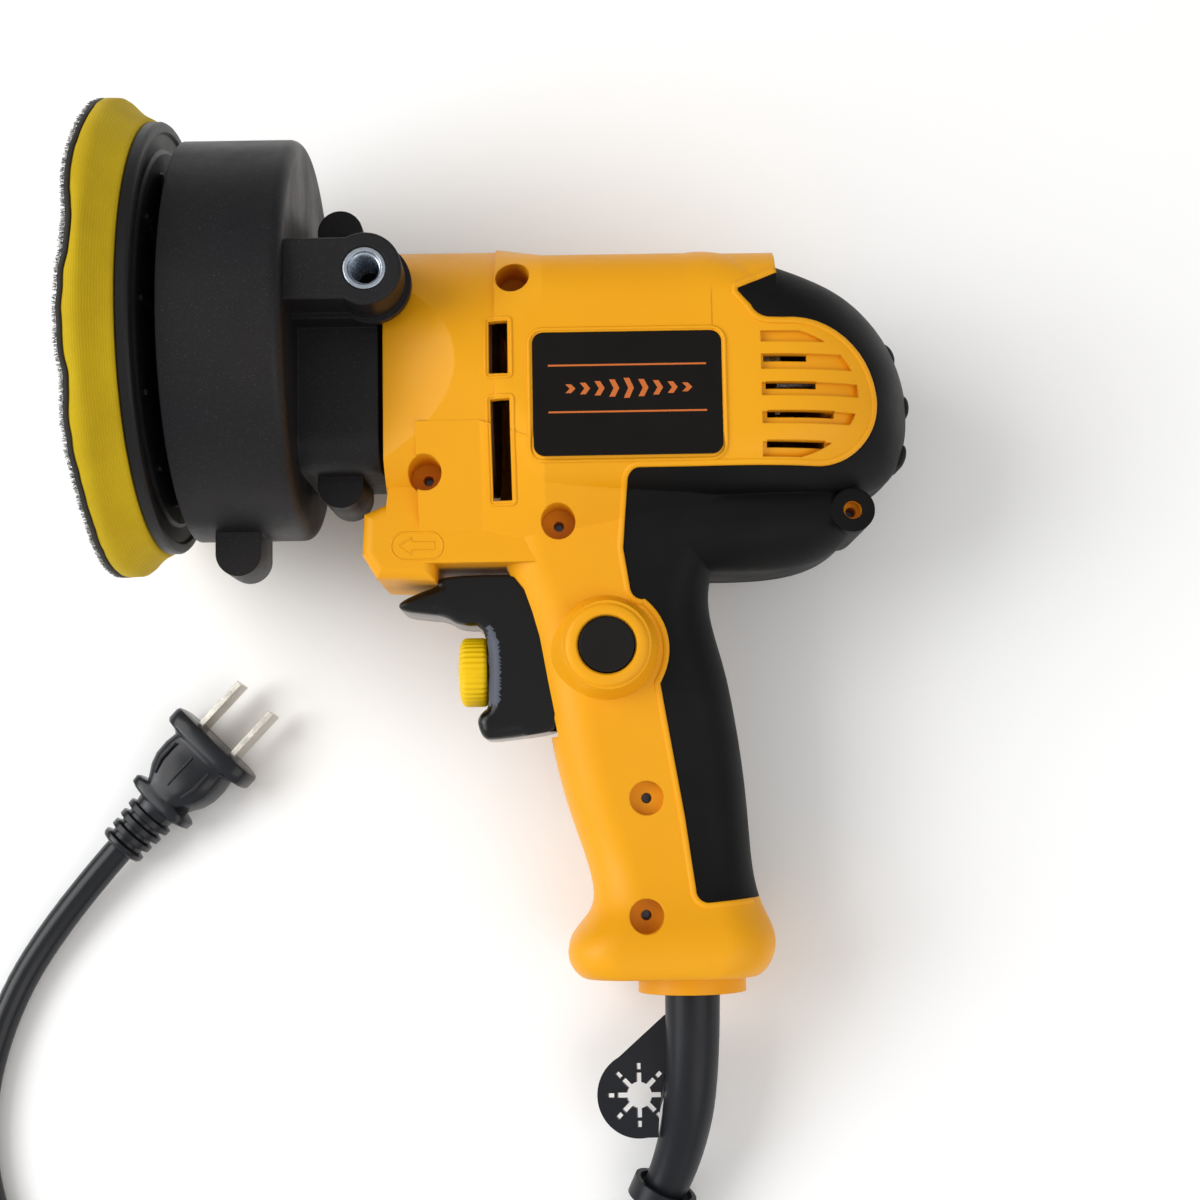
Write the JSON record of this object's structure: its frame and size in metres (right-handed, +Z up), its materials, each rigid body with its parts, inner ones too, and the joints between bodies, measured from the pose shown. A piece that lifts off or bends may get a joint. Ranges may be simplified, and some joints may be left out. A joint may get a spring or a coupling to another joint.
{
  "type": "rotary polisher",
  "caption": "Pistol-grip electric car polisher with a hook-and-loop backing pad on an eccentric head, side-handle bosses, trigger with speed dial, lock button and corded plug.",
  "frame": {"origin": "on the floor, under the middle of the tool's bounding box without its cord", "axes": "the tool lies on its right side: +Z up, +X from the pad towards the motor's rear, +Y from the grip's foot towards the top of the motor housing"},
  "size_m": [0.2621, 0.404, 0.1243],
  "materials": {
    "bearing_steel": "ground and polished",
    "black_plastic": "fine-textured black glass-filled nylon",
    "black_rubber": "soft-touch overmoulded rubber",
    "brass": "pressed brass",
    "bronze": "sintered bronze",
    "brown_fan_plastic": "brown moulded fan",
    "carbon": "pressed carbon",
    "cast_steel": "as cast, bored",
    "copper_bars": "turned copper bars",
    "copper_winding": "enamelled copper wire",
    "cord_rubber": "smooth black rubber",
    "dial_yellow": "bright yellow ribbed plastic",
    "die_cast_aluminium": "die cast",
    "electrical_steel": "stacked laminations",
    "gear_steel": "sintered and oiled",
    "glossy_black": "glossy black",
    "ground_steel": "ground",
    "hook_pile": "grey-white hook pile",
    "label_black": "satin printed label",
    "plug_metal": "nickel-plated blades",
    "screw_steel": "blackened and worn",
    "spring_steel": "wire",
    "switch_plastic": "moulded switch case",
    "yellow_foam": "yellow moulded foam with a woven-looking skin",
    "yellow_plastic": "satin orange-yellow nylon",
    "zinc_steel": "bright zinc plate"
  },
  "bodies": {
    "root": {"bearing_plate": "die_cast_aluminium", "brush_holders": "brass", "brush_springs": "spring_steel", "carbon_brushes": "carbon", "cord_clamp": "black_plastic", "cord_clamp_screws": "screw_steel", "cord_coil": "cord_rubber", "cord_guard": "cord_rubber", "cord_run_plug": "cord_rubber", "cord_run_tool": "cord_rubber", "field_coils": "copper_winding", "field_core": "electrical_steel", "handle_insert_left": "zinc_steel", "handle_insert_right": "zinc_steel", "housing_left": "yellow_plastic", "housing_right": "yellow_plastic", "housing_screws": "screw_steel", "key_holder": "cord_rubber", "label_left": "label_black", "label_right": "label_black", "lock_spring": "spring_steel", "motor_front_bearing": "bearing_steel", "motor_rear_bearing": "bearing_steel", "nose_left": "black_plastic", "nose_right": "black_plastic", "nose_screws": "screw_steel", "plug_blades": "plug_metal", "plug_body": "cord_rubber", "rubber_grip_left": "black_rubber", "rubber_grip_right": "black_rubber", "spindle_bearing": "bearing_steel", "spindle_bush": "bronze", "switch_body": "switch_plastic", "trigger_spring": "spring_steel"},
    "drive": {"spindle": "ground_steel", "spindle_gear": "gear_steel", "counterweight": "cast_steel", "pad_bearing": "bearing_steel"},
    "pad": {"hook_disc": "hook_pile", "pad_foam": "yellow_foam", "pad_plate": "black_plastic", "pad_stud": "zinc_steel", "pad_shaft": "ground_steel"},
    "armature": {"armature_shaft": "ground_steel", "armature_core": "electrical_steel", "armature_windings": "copper_winding", "commutator": "copper_bars", "cooling_fan": "brown_fan_plastic"},
    "trigger": {"trigger": "glossy_black"},
    "speed_dial": {"speed_dial": "dial_yellow"},
    "lock_button": {"lock_button": "glossy_black"}
  },
  "joints": [
    {"name": "spindle_spin", "type": "hinge", "parent": "root", "child": "drive", "pos_m": [-0.04848, 0.05449, 0.05307], "axis": [0.9925, 0, -0.1219], "continuous": true},
    {"name": "armature_spin", "type": "hinge", "parent": "root", "child": "armature", "pos_m": [0.0109, 0.04136, 0.04433], "axis": [0.9925, 0, -0.1219], "continuous": true},
    {"name": "pad_spin", "type": "hinge", "parent": "drive", "child": "pad", "pos_m": [-0.06598, 0.0545, 0.05824], "axis": [0.9925, 0, -0.1219], "continuous": true},
    {"name": "trigger_pull", "type": "slide", "parent": "root", "child": "trigger", "axis": [0.9925, 0, -0.1219], "range_m": [0, 0.006], "stiffness_N_per_m": 700, "springref_m": -0.003, "deforming": ["trigger_spring"]},
    {"name": "dial_turn", "type": "hinge", "parent": "trigger", "child": "speed_dial", "pos_m": [-0.00598, -0.03339, 0.03815], "axis": [0.9925, 0, -0.1219], "range_deg": [0, 280]},
    {"name": "lock_press", "type": "slide", "parent": "root", "child": "lock_button", "axis": [-0.1212, 0.1089, -0.9866], "range_m": [0, 0.003], "stiffness_N_per_m": 500, "springref_m": -0.002, "deforming": ["lock_spring"]}
  ],
  "couplings": [
    {"joint": "armature_spin", "follows": "spindle_spin", "ratio": -3.4}
  ]
}
